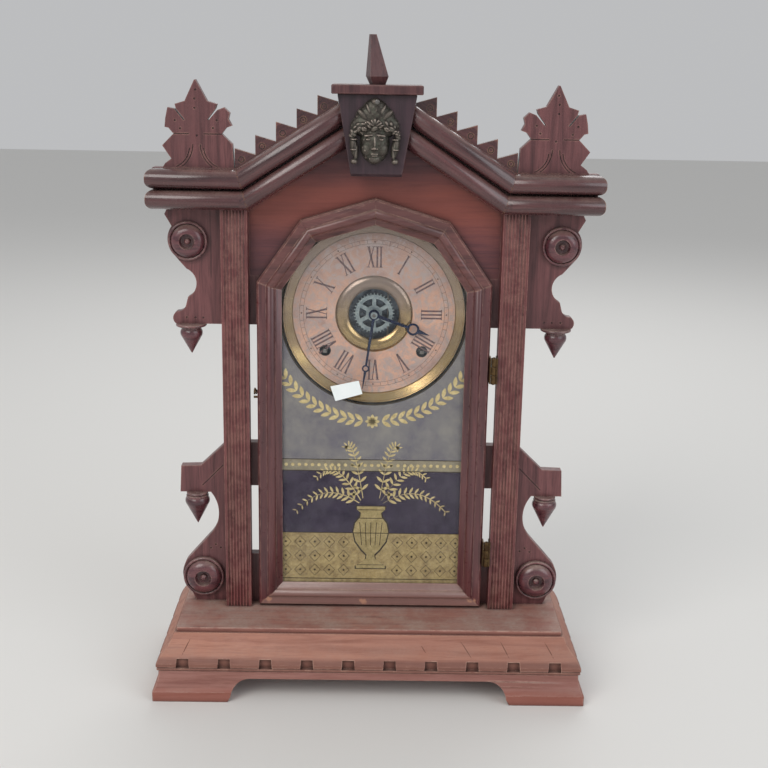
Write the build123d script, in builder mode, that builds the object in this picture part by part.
from build123d import *
import os
from math import acos, atan2, cos, hypot, pi, radians, sin, sqrt, tan

# Figural mantel clock, an eight-day movement in a sawn and moulded wooden case.
# Millimetres. X runs to the right, Y away from the viewer, Z up.
# The origin is the bottom centre of the base; the front faces -Y.

# Base
foot_half_width = 186.7
base_front = 73.5
base_back = 73.5
base_height = 61.0
board_thickness = 20.0
moulding_projection = 16.0
foot_projection = 19.3
rail_height = 27.0
rail_inset = 2.0
foot_length = 64.3
cutout_height = 20.0
side_foot_length = 47.5
notch_pitch = 35.7
notch_count = 10
notch_width = 10.0
notch_height = 7.5
mitre_gap = 0.15

# Case
case_front = 2.0
case_half_width = 98.5
case_back = 71.5
side_thickness = 8.0
front_thickness = 9.0
backboard_thickness = 5.0
eave_height = 398.0
roof_thickness = 8.0
roof_overhang = 3.5
ridge_gap = 0.2

# Pilasters
pilaster_inner = 106.4
pilaster_width = 22.5
pilaster_front = -11.0
reed_count = 7
reed_pitch = 2.7
reed_radius = 0.75

# Cornice
cornice_angle = 32.8
rod_height = 16.0
rod_pitch = 16.9
rod_front = -26.0
rod_half_length = 188.0
upper_rod_z = 442.8
upper_corner_x = 111.6
cornice_front = -10.0
cornice_half_length = 184.0
cornice_margin = 0.4
rod_end_radius = 6.5

# Keystone, cap and obelisk
cap_bottom = 513.0
cap_thickness = 7.3
cap_half_width = 36.5
cap_front = -36.0
cap_back = 6.0
keystone_top_half = 31.9
keystone_bottom_half = 20.6
keystone_bottom = 448.0
keystone_front = -30.0
obelisk_height = 38.7
obelisk_side = 14.9
obelisk_tip_side = 4.8
obelisk_neck_side = 10.4
obelisk_shoulder = 6.3
obelisk_twist = 15.0
obelisk_lean = 4.2
obelisk_y = -16.0

# Crest boards and leaf ornaments
tooth_count = 5
tooth_pitch = 16.9
first_tooth_x = 48.5
tooth_height = 17.5
tooth_root = 1.8
crest_front = -9.0
crest_thickness = 7.0
stamp_radius = 2.6
leaf_axis = 147.0
leaf_front = -10.0
leaf_thickness = 8.0
dot_radius = 0.9
dot_depth = 0.9
incision_width = 0.9

# Wing boards, drops and roundels
wing_thickness = 9.0
wing_top = 445.0
upper_wing_bottom = 318.0
arm_top = 212.0
land_bottom = 172.0
low_land_top = 107.0
slot_outer = 108.0
upper_roundel_x = 157.5
upper_roundel_z = 389.5
upper_roundel_radius = 16.4
lower_roundel_x = 150.0
lower_roundel_z = 85.5
lower_roundel_radius = 18.2
roundel_depth = 9.0
drop_axis_y = 4.0
upper_drop_x = 156.7
upper_drop_length = 26.0
upper_drop_collar = 13.2
upper_drop_radius = 9.6
lower_drop_x = 154.8
lower_drop_top = 165.3
lower_drop_length = 29.7
lower_drop_collar = 9.6
lower_drop_radius = 10.9

# Door
door_half_width = 99.5
door_sill_gap = 1.0
door_bottom = base_height + door_sill_gap
door_shoulder_z = 356.5
door_peak_x = 62.6
door_peak_z = 409.0
door_apex_z = 428.0
door_front = -11.0
door_gap = 0.5
frame_width = 21.0
frame_lap = 9.0
glass_thickness = 2.0
glass_front = -4.4
glass_rebate = 4.5
glass_edge_gap = 0.5

# Hinges and latch
hinge_x = 102.95
hinge_y = -12.5
knuckle_radius = 2.2
hinge_pin_radius = 0.9
pin_overhang = 0.6
running_clearance = 0.05
hinge_length = 23.0
hinge_heights = (115.0, 283.5)
leaf_plate = 1.2
hinge_leaf_depth = 9.0
latch_z = 257.0
latch_y = 6.5
hook_reach = 12.0
hook_length = 15.4
hook_tip = 1.9
eye_drop = 0.1
eye_length = 3.4
hook_lift = 24.0
hook_thickness = 1.2
hook_width = 2.4
latch_screw_radius = 1.0

# Dial
dial_z = 327.5
dial_face = 8.0
dial_sheet = 0.8
dial_radius = 79.0
paper_radius = 69.8
paper_thickness = 0.3
centre_ring_outer = 33.2
centre_ring_inner = 21.7
rim_front = 3.6
winding_x = 41.9
winding_drop = 32.8
winding_hole_radius = 5.0
lug_reach = 88.0
lug_half_height = 6.0
block_inner = 80.5
block_half_height = 10.0
block_depth = 11.0
pan_screw_x = 84.6
small_screw_radius = 1.2
small_screw_head = 2.4

# Hands
minute_hand_length = 66.0
hour_hand_length = 51.0
minute_hub_radius = 3.6
minute_ring_place = 47.7
minute_ring_outer = 3.2
minute_ring_inner = 1.9
hour_hub_radius = 4.6
hour_ring_place = 36.0
hour_ring_outer = 5.4
hour_ring_inner = 3.5
collet_radius = 3.0
collet_thickness = 1.5
minute_hand_angle = 188.0
hour_hand_angle = 110.0
minute_hand_y = 2.2
hour_hand_y = 4.2
hand_thickness = 0.7

# Movement
front_plate_y = 17.0
plate_thickness = 1.5
back_plate_y = 50.0
plate_bottom = 262.0
plate_waist = 322.0
plate_top = 382.0
plate_half_bottom = 68.0
plate_half_top = 47.0
pillar_radius = 2.5
pivot_radius = 1.0
arbor_radius = 1.5
shoulder_gap = 0.3
pillar_places = ((56.0, 268.0), (36.0, 374.0))
movement_screw_places = ((63.5, 267.0), (42.0, 376.0))
movement_block_spans = ((52.0, 68.0, 262.0, 280.0), (28.0, 47.0, 366.0, 380.0))
mount_screw_depth = 12.0
mount_head_radius = 3.0
mount_head_height = 2.0
tooth_addendum = 0.55
tooth_dedendum = 1.05
minute_module = 0.6
transfer_teeth = 42
great_teeth = 84
great_module = 0.63
second_pinion_teeth = 7
transfer_front = 19.4
transfer_back = 20.6
great_front = 42.5
great_back = 44.5
second_wheel_radius = 20.0
second_wheel_teeth = 80
second_front = 46.8
second_back = 48.0
cannon_teeth = 12
minute_wheel_teeth = 36
motion_centres = 21.5
minute_pinion_teeth = 9
hour_teeth = 36
stud_angle = 225.0
stud_front = 10.0
cannon_front = 14.6
cannon_back = 16.2
minute_arbor_front = 0.2
minute_wheel_front = 14.8
minute_wheel_back = 16.0
minute_pinion_front = 10.2
hour_wheel_front = 11.0
hour_wheel_back = 12.0
hour_pipe_radius = 2.6
hour_pipe_front = 3.9
hour_window_inner = 7.0
hour_window_outer = 12.8
hour_spoke = 3.4
winding_arbor_radius = 2.4
winding_square = 3.2
spring_strip = 0.45
spring_pitch = 2.4
spring_turns = 6
spring_inner = 7.2
spring_front = 22.5
spring_back = 41.5
spring_eye = 0.7
ratchet_radius = 9.0
ratchet_teeth = 14
ratchet_root = 7.6
ratchet_front = 45.2
click_back = 46.4
click_gap = 0.4
click_pivot = (13.5, 8.5)
click_boss = 2.0
barrel_radius = 6.0
barrel_front = 22.5
barrel_back = 41.2
collar_radius = 5.0
winding_front = 6.0
escape_x = 12.0
escape_z = 352.0
escape_radius = 13.0
escape_teeth = 30
verge_z = 368.5
escape_front = 22.0
escape_back = 23.0
verge_front = 21.8
verge_back = 23.2
verge_hub = 2.3
pallet_clearance = 1.1
pallet_spread = 40.0
crutch_front = 15.4
crutch_back = 16.6
crutch_length = 30.0
prong_offset = 1.8
prong_radius = 0.5
prong_front = 12.6
suspension_z = 375.5
suspension_width = 6.0
suspension_height = 7.0
suspension_slot = 2.0
suspension_front = 12.0
suspension_strip = 0.4
suspension_top = 378.0
rod_top = 366.0
rod_bottom = 163.0
nut_radius = 3.0
nut_height = 3.0
pendulum_y = 14.0
bob_radius = 20.0
bob_thickness = 9.0
bob_z = 190.0
rod_radius = 0.8
mount_screw_radius = 1.4

# Strike
gong_z = 165.0
gong_y = 57.5
gong_inner = 9.0
gong_half_turns = 9
gong_pitch = 6.4
gong_wire = 3.4
gong_foot_radius = 16.0
gong_foot_thickness = 4.0
gong_post_radius = 5.0
gong_head_half = 4.0
gong_head_end = 12.6
hammer_x = -8.0
hammer_z = 282.0
hammer_head_length = 9.0
hammer_head_radius = 3.4
hammer_gap = 1.2
hammer_wire = 1.0

# Derived sizes
slab_half = foot_half_width - foot_projection
slab_front = -(base_front - foot_projection)
slope = tan(radians(cornice_angle))
rod_half = rod_height / 2
lower_rod_z = upper_rod_z - rod_pitch
mitre_shift = tan(radians(cornice_angle / 2))
lower_corner_x = upper_corner_x - rod_pitch * mitre_shift
cornice_low = lower_rod_z - rod_half - cornice_margin
cornice_high = upper_rod_z + rod_half + cornice_margin
front_board_back = case_front + front_thickness
backboard_front = case_back - backboard_thickness
door_back = case_front - door_gap
front_plate_back = front_plate_y + plate_thickness
winding_z = dial_z - winding_drop


def front_plane(y, x=0.0, z=0.0):
    # Sketch plane that faces the viewer: local x is +X, local y is +Z, and it extrudes towards the viewer
    return Plane(origin=(x, y, z), x_dir=(1, 0, 0), z_dir=(0, -1, 0))


def inset(points, amount):
    # Moves each side of a convex outline, listed anticlockwise, inwards by amount
    moved = []
    count = len(points)
    for i in range(count):
        before, here, after = points[i - 1], points[i], points[(i + 1) % count]
        a = atan2(here[1] - before[1], here[0] - before[0])
        b = atan2(after[1] - here[1], after[0] - here[0])
        half = (b - a) / 2
        reach = amount / cos(half)
        moved.append((here[0] - reach * sin(a + half), here[1] + reach * cos(a + half)))
    return moved


def write(part, name):
    part.label = name
    export_step(part, f"parts/{name}.step")


os.makedirs("parts", exist_ok=True)

# Base board
board_bottom = base_height - board_thickness
with BuildPart() as base_board:
    with BuildSketch(Plane.XY.offset(board_bottom)):
        with Locations((0, (base_back + slab_front) / 2)):
            Rectangle(2 * slab_half, base_back - slab_front)
    extrude(amount=board_thickness)
    chamfer(base_board.edges().filter_by(Axis.Z).sort_by(Axis.Y)[:2], 0.8)
    chamfer(base_board.faces().sort_by(Axis.Z)[-1].edges().sort_by(Axis.Y)[0], 0.8)
write(base_board.part, "base_board")


def moulding_face(plane):
    # Ogee moulding with a lip and a bead: local x is out from the board's edge, local y is up
    top = base_height - 4.0
    lip = rail_height + 3.8
    reach = moulding_projection
    with BuildSketch(plane) as face:
        with BuildLine():
            Polyline((0, rail_height), (0, top), (2, top))
            ThreePointArc((2, top), (4.6, top - 6.5), (reach * 0.55, top - 12.5))
            ThreePointArc((reach * 0.55, top - 12.5), (reach * 0.83, top - 18), (reach, lip + 3))
            Polyline((reach, lip + 3), (reach, lip), (reach - 2.2, lip))
            ThreePointArc((reach - 2.2, lip), (reach - 0.4, (lip + rail_height) / 2),
                          (reach - 2.2, rail_height))
            Line((reach - 2.2, rail_height), (0, rail_height))
        make_face()
    return face.sketch


def rail_face(plane):
    # Foot rail: upright below, hollowed above, set just outside the board's edge
    reach = foot_projection
    with BuildSketch(plane) as face:
        with BuildLine():
            Polyline((rail_inset, 0), (reach, 0), (reach, 9))
            ThreePointArc((reach, 9), (reach - 3.6, 16.5), (reach - 5, rail_height - 1))
            Polyline((reach - 5, rail_height - 1), (reach - 5, rail_height), (rail_inset, rail_height))
            Line((rail_inset, rail_height), (rail_inset, 0))
        make_face()
    return face.sketch


front_edge = Plane(origin=(foot_half_width, slab_front, 0), x_dir=(0, -1, 0), z_dir=(-1, 0, 0))
side_edge = Plane(origin=(slab_half, base_back, 0), x_dir=(1, 0, 0), z_dir=(0, -1, 0))
front_run = 2 * foot_half_width
side_run = base_back + base_front
corner = foot_projection + 1.0
gap_shift = mitre_gap / 2


def front_mitre():
    # Plan of the front run between its two 45 degree mitres
    with BuildSketch(Plane.XY) as plan:
        Polygon((-slab_half + gap_shift, slab_front),
                (-slab_half - corner + gap_shift, slab_front - corner),
                (slab_half + corner - gap_shift, slab_front - corner),
                (slab_half - gap_shift, slab_front),
                align=None)
    return plan.sketch


def side_mitre():
    # Plan of the right-hand run behind its front mitre
    with BuildSketch(Plane.XY) as plan:
        Polygon((slab_half, slab_front + gap_shift),
                (slab_half + corner, slab_front - corner + gap_shift),
                (slab_half + corner, base_back), (slab_half, base_back), align=None)
    return plan.sketch


def notch_face(plane, places):
    # Small flared notches through the moulding's lip
    with BuildSketch(plane) as face:
        with Locations(*[(place, rail_height + 3.5) for place in places]):
            Polygon((-notch_width / 2 - 0.8, -1), (notch_width / 2 + 0.8, -1),
                    (notch_width / 2, notch_height),
                    (-notch_width / 2, notch_height), align=None)
    return face.sketch


notch_places = [notch_pitch * (i - (notch_count - 1) / 2) for i in range(notch_count)]
side_notches = [notch_pitch * (i + 0.6) - base_front for i in range(4)]
notch_floor = moulding_projection - 4.5
with BuildPart() as front_moulding:
    extrude(moulding_face(front_edge), amount=front_run)
    extrude(front_mitre(), amount=base_height, mode=Mode.INTERSECT)
    notches = notch_face(front_plane(slab_front - notch_floor), notch_places)
    extrude(notches, amount=moulding_projection, mode=Mode.SUBTRACT)
with BuildPart() as side_moulding:
    extrude(moulding_face(side_edge), amount=side_run)
    extrude(side_mitre(), amount=base_height, mode=Mode.INTERSECT)
    side_plane = Plane(origin=(slab_half + notch_floor, 0, 0), x_dir=(0, 1, 0), z_dir=(1, 0, 0))
    extrude(notch_face(side_plane, side_notches), amount=moulding_projection, mode=Mode.SUBTRACT)
with BuildPart() as base_moulding:
    add(front_moulding.part)
    add(side_moulding.part)
    mirror(side_moulding.part, about=Plane.YZ)
write(base_moulding.part, "base_moulding")

# Foot rails
foot_inner = foot_half_width - foot_length
with BuildPart() as front_foot_rail:
    extrude(rail_face(front_edge), amount=front_run)
    extrude(front_mitre(), amount=rail_height, mode=Mode.INTERSECT)
    with BuildSketch(front_plane(slab_front + 1)):
        with BuildLine():
            Line((-foot_inner, -1), (foot_inner, -1))
            Line((foot_inner, -1), (foot_inner - 3, 4.5))
            ThreePointArc((foot_inner - 3, 4.5), (foot_inner - 6.5, 13.5),
                          (foot_inner - 18, cutout_height))
            Line((foot_inner - 18, cutout_height), (18 - foot_inner, cutout_height))
            ThreePointArc((18 - foot_inner, cutout_height), (6.5 - foot_inner, 13.5),
                          (3 - foot_inner, 4.5))
            Line((3 - foot_inner, 4.5), (-foot_inner, -1))
        make_face()
    extrude(amount=foot_projection + 5, mode=Mode.SUBTRACT)
write(front_foot_rail.part, "front_foot_rail")

with BuildPart() as right_foot_rail:
    extrude(rail_face(side_edge), amount=side_run)
    extrude(side_mitre(), amount=rail_height, mode=Mode.INTERSECT)
    with BuildSketch(Plane(origin=(slab_half, 0, 0), x_dir=(0, 1, 0), z_dir=(1, 0, 0))):
        low, high = side_foot_length - base_front, base_back - side_foot_length
        Polygon((low, -1), (high, -1), (high - 10, cutout_height), (low + 10, cutout_height), align=None)
    extrude(amount=foot_projection + 5, mode=Mode.SUBTRACT)
with BuildPart() as side_foot_rails:
    add(right_foot_rail.part)
    mirror(right_foot_rail.part, about=Plane.YZ)
write(side_foot_rails.part, "side_foot_rails")

# Pilasters, reeded on the front
pilaster_x = pilaster_inner + pilaster_width / 2
with BuildPart() as pilasters:
    with BuildSketch(Plane.XY.offset(base_height)):
        with Locations((pilaster_x, (pilaster_front + case_front) / 2)):
            Rectangle(pilaster_width, case_front - pilaster_front)
        with Locations((pilaster_x, pilaster_front)):
            with GridLocations(reed_pitch, 1, reed_count, 1):
                Circle(reed_radius, mode=Mode.SUBTRACT)
    extrude(amount=cornice_low - base_height)
    mirror(about=Plane.YZ)
write(pilasters.part, "pilasters")

# Case sides, roof boards and backboard
side_inner = case_half_width - side_thickness
roof_rise = roof_thickness / cos(radians(cornice_angle))


def under_roof(x):
    return eave_height + (case_half_width - abs(x)) * slope


with BuildPart() as case_sides:
    with BuildSketch(front_plane(backboard_front)):
        Polygon((side_inner, base_height), (case_half_width, base_height),
                (case_half_width, under_roof(case_half_width)), (side_inner, under_roof(side_inner)),
                align=None)
    extrude(amount=backboard_front - front_board_back)
    mirror(about=Plane.YZ)
write(case_sides.part, "case_sides")

roof_end = case_half_width + roof_overhang
with BuildPart() as roof_boards:
    with BuildSketch(front_plane(backboard_front)):
        Polygon((ridge_gap / 2, under_roof(ridge_gap / 2)), (roof_end, under_roof(roof_end)),
                (roof_end, under_roof(roof_end) + roof_rise),
                (ridge_gap / 2, under_roof(ridge_gap / 2) + roof_rise), align=None)
    extrude(amount=backboard_front - front_board_back)
    mirror(about=Plane.YZ)
write(roof_boards.part, "roof_boards")

with BuildPart() as backboard:
    with BuildSketch(front_plane(case_back)):
        Polygon((-case_half_width, base_height), (case_half_width, base_height),
                (case_half_width, under_roof(case_half_width) + roof_rise),
                (0, under_roof(0) + roof_rise),
                (-case_half_width, under_roof(case_half_width) + roof_rise), align=None)
    extrude(amount=backboard_thickness)
    chamfer(backboard.faces().sort_by(Axis.Y)[-1].edges(), 0.6)
write(backboard.part, "backboard")

# Front board with its arched opening behind the door
door_outline = [(-door_half_width, door_bottom), (door_half_width, door_bottom),
                (door_half_width, door_shoulder_z), (door_peak_x, door_peak_z), (0, door_apex_z),
                (-door_peak_x, door_peak_z), (-door_half_width, door_shoulder_z)]
opening_outline = inset(door_outline, frame_lap)
gable_foot = door_shoulder_z + 4.0
gable_half = slot_outer - 2.0


def cornice_line(x, offset):
    # Height above or below the upper rod's centre line, along the slope
    return upper_rod_z + (upper_corner_x - abs(x)) * slope + offset / cos(radians(cornice_angle))


board_top = cap_bottom - 6.0
board_peak_x = upper_corner_x - (board_top - upper_rod_z) / slope
with BuildPart() as front_board:
    with BuildSketch(front_plane(front_board_back)):
        Polygon((-case_half_width, base_height), (case_half_width, base_height),
                (case_half_width, gable_foot),
                (gable_half, gable_foot), (gable_half, cornice_line(gable_half, 0)),
                (board_peak_x, board_top),
                (-board_peak_x, board_top), (-gable_half, cornice_line(gable_half, 0)),
                (-gable_half, gable_foot), (-case_half_width, gable_foot), align=None)
        Polygon(*opening_outline, align=None, mode=Mode.SUBTRACT)
    extrude(amount=front_thickness)
    with BuildSketch(Plane(origin=(-case_half_width, latch_y, latch_z), x_dir=(0, 1, 0),
                           z_dir=(1, 0, 0))):
        Circle(latch_screw_radius + running_clearance)
    extrude(amount=side_thickness - 2, mode=Mode.SUBTRACT)
write(front_board.part, "front_board")

# Upper wing boards
with BuildPart() as upper_wings:
    with BuildSketch(front_plane(case_front + wing_thickness)):
        with BuildLine():
            Polyline((case_half_width, upper_wing_bottom), (case_half_width, gable_foot),
                     (gable_half, gable_foot), (gable_half, cornice_line(gable_half, 0)),
                     (upper_corner_x, wing_top), (174, wing_top), (174, cornice_low),
                     (177, cornice_low - 6),
                     (171.2, 401.5))
            ThreePointArc((171.2, 401.5), (upper_roundel_x + upper_roundel_radius + 1, upper_roundel_z),
                          (168.8, 376.2))
            Line((168.8, 376.2), (159.6, 365.6))
            ThreePointArc((159.6, 365.6), (151.4, 351.5), (158.8, 341.0))
            Line((158.8, 341.0), (160.6, 334.2))
            ThreePointArc((160.6, 334.2), (163.4, 329.9), (168.4, 328.4))
            ThreePointArc((168.4, 328.4), (171.9, 323.2), (169.6, upper_wing_bottom))
            Line((169.6, upper_wing_bottom), (case_half_width, upper_wing_bottom))
        make_face()
    extrude(amount=wing_thickness)
    with BuildSketch(front_plane(case_front + dot_depth)):
        with Locations((146, 323.4), (152.8, 323.4), (160.2, 323.4)):
            Circle(dot_radius)
    extrude(amount=dot_depth + 1, mode=Mode.SUBTRACT)
    mirror(about=Plane.YZ)
write(upper_wings.part, "upper_wings")

# Lower wing boards
with BuildPart() as lower_wings:
    with BuildSketch(front_plane(case_front + wing_thickness)):
        with BuildLine():
            Polyline((case_half_width, base_height), (case_half_width, low_land_top),
                     (slot_outer, low_land_top), (slot_outer, land_bottom),
                     (case_half_width, land_bottom),
                     (case_half_width, arm_top), (slot_outer + 20, arm_top), (150.8, 190.0),
                     (168.4, 189.4),
                     (169.6, lower_drop_top), (142.6, lower_drop_top))
            ThreePointArc((142.6, lower_drop_top), (135.9, 144.0), (144.6, 124.0))
            Line((144.6, 124.0), (164.6, 101.0))
            ThreePointArc((164.6, 101.0), (lower_roundel_x + lower_roundel_radius + 0.9, lower_roundel_z),
                          (161.5, 70.0))
            Polyline((161.5, 70.0), (157.5, base_height), (case_half_width, base_height))
        make_face()
    extrude(amount=wing_thickness)
    with BuildSketch(front_plane(case_front + dot_depth)):
        with Locations((134.5, 112.5), (139.0, 115.5), (143.5, 112.0)):
            Circle(dot_radius)
        with BuildLine():
            Line((131, 191), (150, 171.5))
        trace(line_width=incision_width)
    extrude(amount=dot_depth + 1, mode=Mode.SUBTRACT)
    mirror(about=Plane.YZ)
write(lower_wings.part, "lower_wings")


def turned_drop(x, top, length, collar_radius, body_radius):
    # Turned pendant with a collar, cut flush with the back of the wing board that it hangs under
    plane = Plane(origin=(x, drop_axis_y, top), x_dir=(1, 0, 0), z_dir=(0, -1, 0))
    bead = 1.1
    with BuildPart() as drop:
        with BuildSketch(plane):
            with BuildLine():
                Polyline((0, -length), (0, 0), (collar_radius - bead, 0))
                ThreePointArc((collar_radius - bead, 0), (collar_radius, -bead),
                              (collar_radius - bead, -2 * bead))
                Polyline((collar_radius - bead, -2 * bead), (body_radius - 1, -3 * bead),
                         (body_radius - 1, -4.4 * bead))
                ThreePointArc((body_radius - 1, -4.4 * bead), (body_radius, -7.5 * bead),
                              (body_radius - 0.8, -10 * bead))
                Line((body_radius - 0.8, -10 * bead), (0.4, -length))
                Line((0.4, -length), (0, -length))
            make_face()
        revolve(axis=Axis((x, drop_axis_y, top), (0, 0, 1)))
        split(bisect_by=Plane.XZ.offset(-(case_front + wing_thickness)), keep=Keep.TOP)
    return drop.part


upper_drop = turned_drop(upper_drop_x, upper_wing_bottom, upper_drop_length, upper_drop_collar,
                         upper_drop_radius)
lower_drop = turned_drop(lower_drop_x, lower_drop_top, lower_drop_length, lower_drop_collar,
                         lower_drop_radius)
with BuildPart() as turned_drops:
    add(upper_drop)
    add(lower_drop)
    mirror(upper_drop, about=Plane.YZ)
    mirror(lower_drop, about=Plane.YZ)
write(turned_drops.part, "turned_drops")


def roundel(x, z, radius):
    # Turned rosette: rim, domed ring, hollow centre and boss
    plane = Plane(origin=(x, case_front, z), x_dir=(1, 0, 0), z_dir=(0, 0, -1))
    high = roundel_depth
    with BuildPart() as rosette:
        with BuildSketch(plane):
            with BuildLine():
                Polyline((0, 0), (radius, 0), (radius, high * 0.3))
                ThreePointArc((radius, high * 0.3), (radius * 0.94, high * 0.5),
                              (radius * 0.87, high * 0.36))
                ThreePointArc((radius * 0.87, high * 0.36), (radius * 0.64, high * 0.9),
                              (radius * 0.4, high * 0.98))
                Polyline((radius * 0.4, high * 0.98), (radius * 0.33, high * 0.45),
                         (radius * 0.18, high * 0.45))
                Polyline((radius * 0.18, high * 0.45), (radius * 0.15, high * 0.75),
                         (radius * 0.08, high * 0.9),
                         (0, high * 0.92), (0, 0))
            make_face()
        revolve(axis=Axis((x, case_front, z), (0, -1, 0)))
    return rosette.part


upper_roundel = roundel(upper_roundel_x, upper_roundel_z, upper_roundel_radius)
lower_roundel = roundel(lower_roundel_x, lower_roundel_z, lower_roundel_radius)
with BuildPart() as roundels:
    add(upper_roundel)
    add(lower_roundel)
    mirror(upper_roundel, about=Plane.YZ)
    mirror(lower_roundel, about=Plane.YZ)
write(roundels.part, "roundels")

# Cornice board, one piece across the whole front
low_corner_x = lower_corner_x - (rod_half + cornice_margin) * mitre_shift
high_corner_x = upper_corner_x + (rod_half + cornice_margin) * mitre_shift
cap_corner_x = high_corner_x - (cap_bottom - cornice_high) / slope
with BuildPart() as cornice_board:
    with BuildSketch(front_plane(case_front)):
        Polygon((0, cornice_low + low_corner_x * slope), (low_corner_x, cornice_low),
                (cornice_half_length, cornice_low), (cornice_half_length, cornice_high),
                (high_corner_x, cornice_high), (cap_corner_x, cap_bottom), (0, cap_bottom), align=None)
        mirror(about=Plane.YZ)
    extrude(amount=case_front - cornice_front)
write(cornice_board.part, "cornice_board")


# Cornice rods, bullnosed, each a level run and a sloping run mitred together
def keystone_half(z):
    share = (z - keystone_bottom) / (cap_bottom - keystone_bottom)
    return keystone_bottom_half + share * (keystone_top_half - keystone_bottom_half)


def bullnose(plane):
    # Half-round front on a square back, across the rod; local x points at the viewer
    with BuildSketch(plane) as section:
        Circle(rod_half)
        with Locations(((rod_axis_y - cornice_front) / 2, 0)):
            Rectangle(cornice_front - rod_axis_y, rod_height)
    return section.sketch


rod_axis_y = rod_front + rod_half
rod_depth = cornice_front - rod_front
rod_parts = []
for corner_x, corner_z in ((upper_corner_x, upper_rod_z), (lower_corner_x, lower_rod_z)):
    shift = rod_half * mitre_shift
    with BuildPart() as level_rod:
        with BuildSketch(front_plane(cornice_front)) as outline:
            Polygon((corner_x - shift + gap_shift, corner_z - rod_half),
                    (rod_half_length, corner_z - rod_half),
                    (rod_half_length, corner_z + rod_half),
                    (corner_x + shift + gap_shift, corner_z + rod_half),
                    align=None)
            fillet(outline.vertices().group_by(Axis.X)[-1], rod_end_radius)
        extrude(amount=rod_depth)
        section = bullnose(Plane(origin=(corner_x, rod_axis_y, corner_z), x_dir=(0, -1, 0),
                                 z_dir=(1, 0, 0)))
        extrude(section, amount=foot_half_width, both=True, mode=Mode.INTERSECT)
    up = (-cos(radians(cornice_angle)), 0, sin(radians(cornice_angle)))
    with BuildPart() as sloping_rod:
        with BuildSketch(front_plane(cornice_front)):
            Polygon((corner_x - shift - gap_shift, corner_z - rod_half),
                    (corner_x + shift - gap_shift, corner_z + rod_half),
                    (0, corner_z + rod_half + (corner_x + shift) * slope),
                    (0, corner_z - rod_half + (corner_x - shift) * slope), align=None)
            Polygon((-1, keystone_bottom), (keystone_half(keystone_bottom), keystone_bottom),
                    (keystone_half(cap_bottom), cap_bottom), (keystone_half(cap_bottom), cap_bottom + 40),
                    (-1, cap_bottom + 40), align=None, mode=Mode.SUBTRACT)
        extrude(amount=rod_depth)
        section = bullnose(Plane(origin=(corner_x, rod_axis_y, corner_z), x_dir=(0, -1, 0), z_dir=up))
        extrude(section, amount=foot_half_width, both=True, mode=Mode.INTERSECT)
    rod_parts += [level_rod.part, sloping_rod.part]
with BuildPart() as cornice_rods:
    for rod in rod_parts:
        add(rod)
        mirror(rod, about=Plane.YZ)
write(cornice_rods.part, "cornice_rods")

# Crest boards: saw teeth that rise outwards, each with a stamped circle
crest_line = rod_half + cornice_margin
with BuildPart() as right_crest_board:
    crest_start = first_tooth_x - tooth_pitch
    crest_end = crest_start + tooth_count * tooth_pitch
    tooth_points = [(crest_start, cornice_line(crest_start, crest_line)), (high_corner_x, cornice_high),
                    (crest_end, cornice_high)]
    for i in reversed(range(tooth_count)):
        inner_x = crest_start + i * tooth_pitch
        peak_x = inner_x + tooth_pitch
        tooth_points.append((peak_x, cornice_line(peak_x, crest_line) + tooth_height))
        tooth_points.append((inner_x, cornice_line(inner_x, crest_line) + tooth_root))
    with BuildSketch(front_plane(crest_front + crest_thickness)):
        Polygon(*tooth_points, align=None)
    extrude(amount=crest_thickness)
    with BuildSketch(front_plane(crest_front + dot_depth)):
        for i in range(tooth_count):
            stamp_x = first_tooth_x + i * tooth_pitch - 5.5
            with Locations((stamp_x, cornice_line(stamp_x, crest_line) + 5.0)):
                Circle(stamp_radius)
                Circle(stamp_radius - 0.9, mode=Mode.SUBTRACT)
    extrude(amount=dot_depth + 1, mode=Mode.SUBTRACT)
with BuildPart() as crest_boards:
    add(right_crest_board.part)
    mirror(right_crest_board.part, about=Plane.YZ)
write(crest_boards.part, "crest_boards")

# Leaf ornaments: a hand-sawn leaf of five points that stands on the cornice
leaf_foot = cornice_high
outer_flank = [(28.2, 0), (26.0, 3.4), (20.9, 7.2), (28.1, 17.8), (18.7, 27.3), (22.5, 31.9),
               (25.7, 32.6),
               (24.9, 40.0), (23.0, 48.2), (17.6, 47.1), (10.2, 38.1), (9.3, 38.7), (16.2, 47.3),
               (17.1, 51.0), (9.0, 53.5), (1.0, 70.3)]
inner_flank = [(0.0, 70.5), (9.2, 53.6), (17.1, 51.3), (15.9, 47.6), (9.2, 38.9), (10.0, 38.3),
               (17.4, 46.7),
               (22.8, 48.8), (27.4, 44.4), (26.2, 39.4), (29.0, 34.2), (24.4, 32.5), (20.7, 27.6),
               (29.2, 19.5), (30.4, 0)]
leaf_outline = [(leaf_axis + out, leaf_foot + up) for out, up in outer_flank]
leaf_outline += [(leaf_axis - out, leaf_foot + up) for out, up in inner_flank]
leaf_dots = [(0, 62.5), (1.0, 55.4), (1.0, 48.0), (17.2, 38.0), (13.0, 31.6), (-16.8, 38.4),
             (-13.6, 32.2),
             (-0.4, 26.0)]
leaf_depth = leaf_front + dot_depth
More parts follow.
